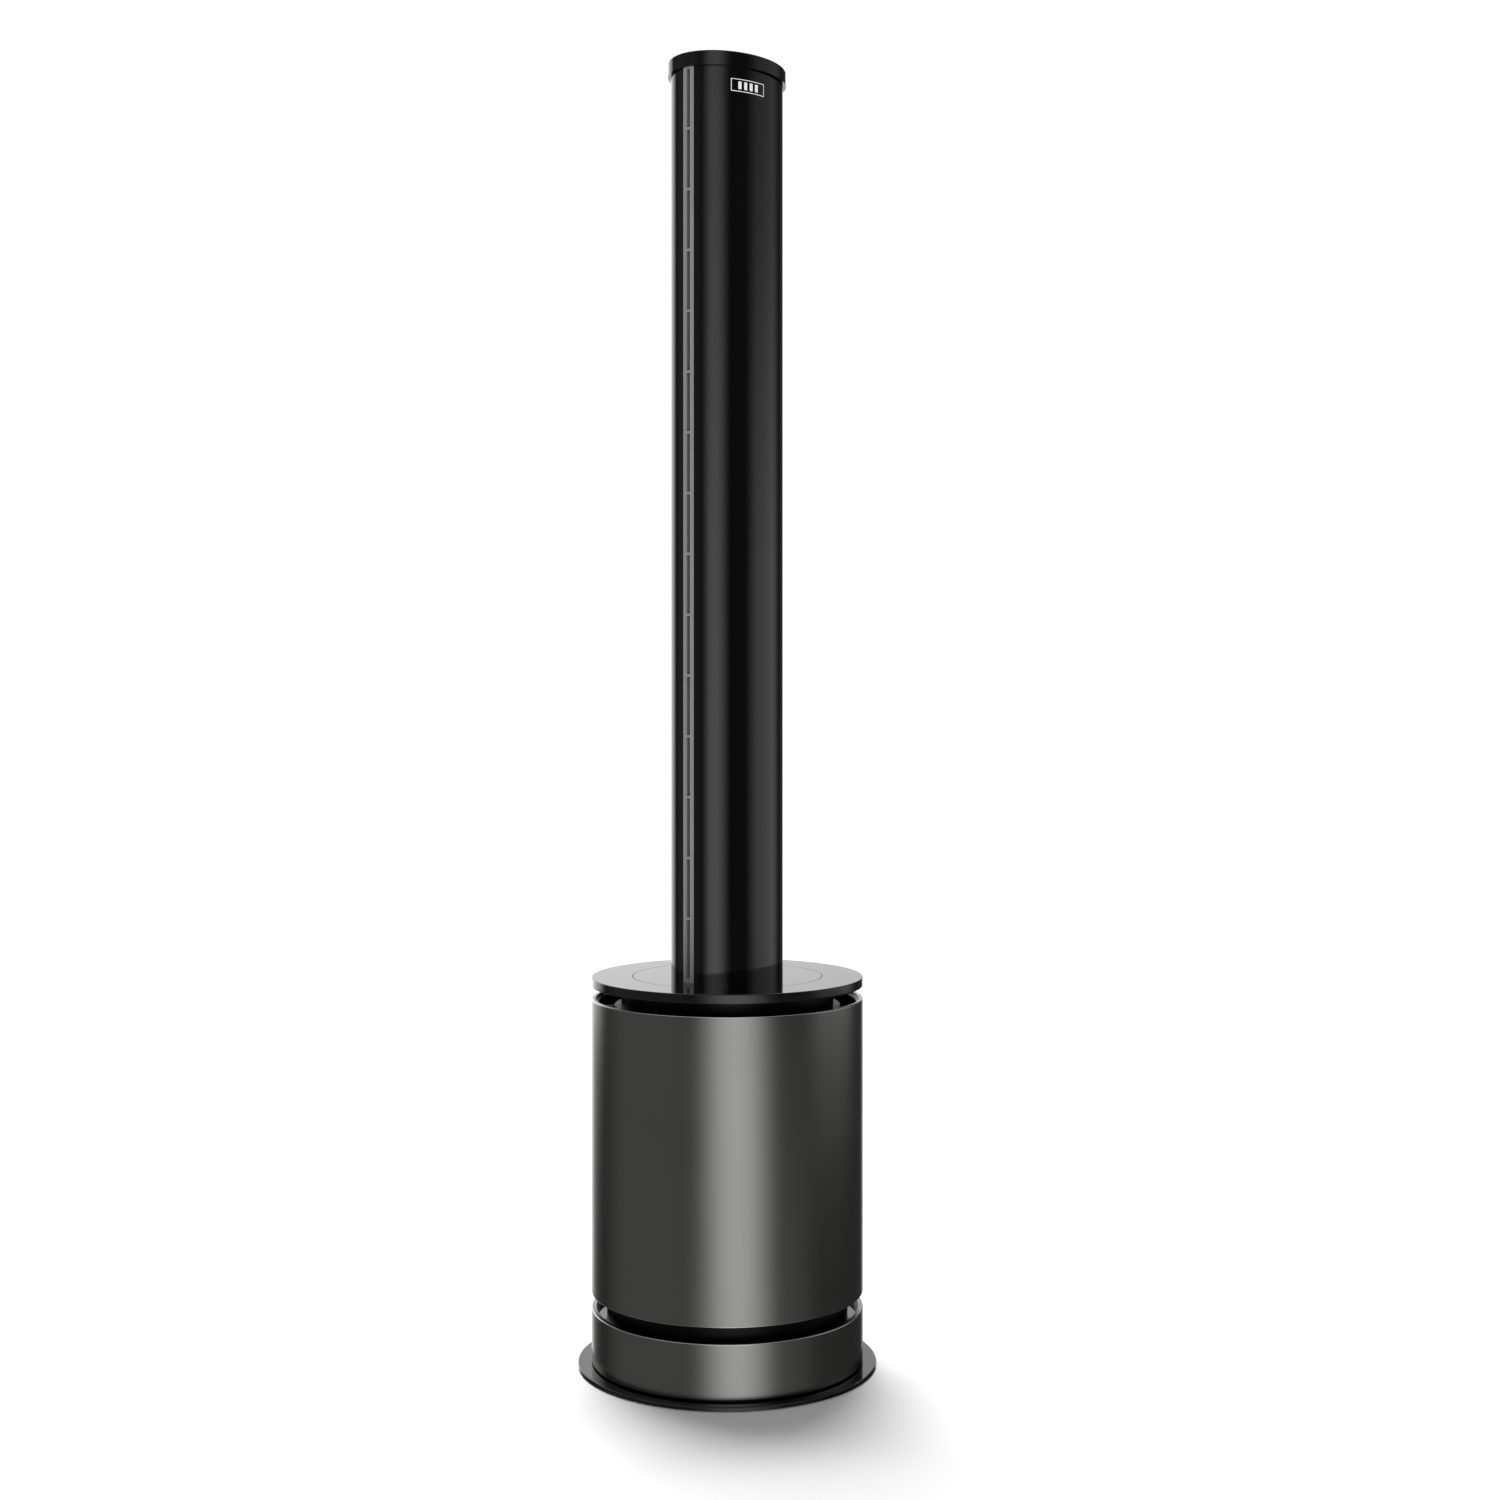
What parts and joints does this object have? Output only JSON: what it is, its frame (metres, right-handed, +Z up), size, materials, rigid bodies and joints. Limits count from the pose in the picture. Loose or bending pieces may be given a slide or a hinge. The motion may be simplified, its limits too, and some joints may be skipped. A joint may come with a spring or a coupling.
{
  "type": "tower fan",
  "caption": "Tall bladeless tower fan: an oval column with a slotted nose turns on a round blower base with ring-shaped air intakes.",
  "frame": {"origin": "the floor under the middle of the base", "axes": "+Z up along the column, -Y out of the air outlet, +X to the right seen from the front"},
  "size_m": [0.2414, 0.2414, 1.0496],
  "materials": {
    "gloss_black_abs": "high gloss black",
    "black_enamel": "gloss black enamel on steel plate",
    "gunmetal_anodised": "satin gunmetal",
    "black_abs": "moulded satin black",
    "grey_abs": "satin mid grey",
    "acetal": "natural acetal",
    "rubber": "matt black rubber",
    "felt": "black felt",
    "filter_fleece": "white pleated fleece",
    "zinc_steel": "zinc plated steel",
    "motor_can": "die cast",
    "magnet": "ferrite magnet on the shaft",
    "copper": "enamelled copper winding",
    "brass": "plated contact",
    "board": "green solder mask",
    "component_black": "moulded epoxy",
    "light_pipe": "diffusing light pipe",
    "badge_silver": "black field with a bright border"
  },
  "bodies": {
    "base": {"rubber_feet": "rubber", "base_plate": "black_enamel", "base_tray": "black_abs", "tray_screws": "zinc_steel", "lower_band": "gunmetal_anodised", "base_deck": "gloss_black_abs", "power_inlet": "black_abs", "inlet_pins": "brass", "power_board": "board", "transformer": "component_black", "capacitors": "component_black", "control_board": "board", "processor": "component_black", "board_screws": "zinc_steel", "filter_drum": "black_abs", "filter_lower_cap": "black_abs", "filter_media": "filter_fleece", "filter_upper_cap": "black_abs", "filter_gasket": "rubber", "shell_cage": "black_abs", "cage_screws": "zinc_steel", "outer_shell": "gunmetal_anodised", "drum_neck": "black_abs", "inlet_bell": "black_abs", "diffuser": "black_abs", "motor_housing": "motor_can", "motor_bearings": "zinc_steel", "motor_stator": "zinc_steel", "motor_coils": "copper", "motor_isolators": "rubber", "motor_cover": "black_abs", "outlet_cone": "black_abs", "duct_seal": "felt", "bearing_carrier": "black_abs", "glide_ring": "acetal", "oscillation_motor": "zinc_steel", "top_deck": "gloss_black_abs", "deck_screws": "zinc_steel"},
    "tower": {"drive_gear": "acetal", "retainer_ring": "acetal", "turntable_screws": "zinc_steel", "turntable": "gloss_black_abs", "status_window": "light_pipe", "status_board": "board", "column_foot": "black_abs", "foot_screws": "zinc_steel", "column_tube": "gloss_black_abs", "outlet_strip": "grey_abs", "nozzle_liner": "black_abs", "column_top_plate": "black_abs", "column_cap": "gloss_black_abs", "badge_plate": "badge_silver"},
    "impeller": {"impeller": "black_abs", "impeller_nut": "zinc_steel", "motor_shaft": "zinc_steel", "motor_rotor": "magnet"},
    "pinion": {"pinion_shaft": "zinc_steel", "drive_pinion": "acetal"}
  },
  "joints": [
    {"name": "oscillation", "type": "hinge", "parent": "base", "child": "tower", "pos_m": [0, 0, 0.3138], "axis": [0, 0, 1], "range_deg": [-40, 40]},
    {"name": "blower_spin", "type": "hinge", "parent": "base", "child": "impeller", "pos_m": [0, 0, 0.22], "axis": [0, 0, 1], "continuous": true},
    {"name": "pinion_spin", "type": "hinge", "parent": "base", "child": "pinion", "pos_m": [0, 0.0612, 0.305], "axis": [0, 0, 1], "range_deg": [-202, 202]}
  ],
  "couplings": [
    {"joint": "pinion_spin", "follows": "oscillation", "ratio": -5}
  ]
}
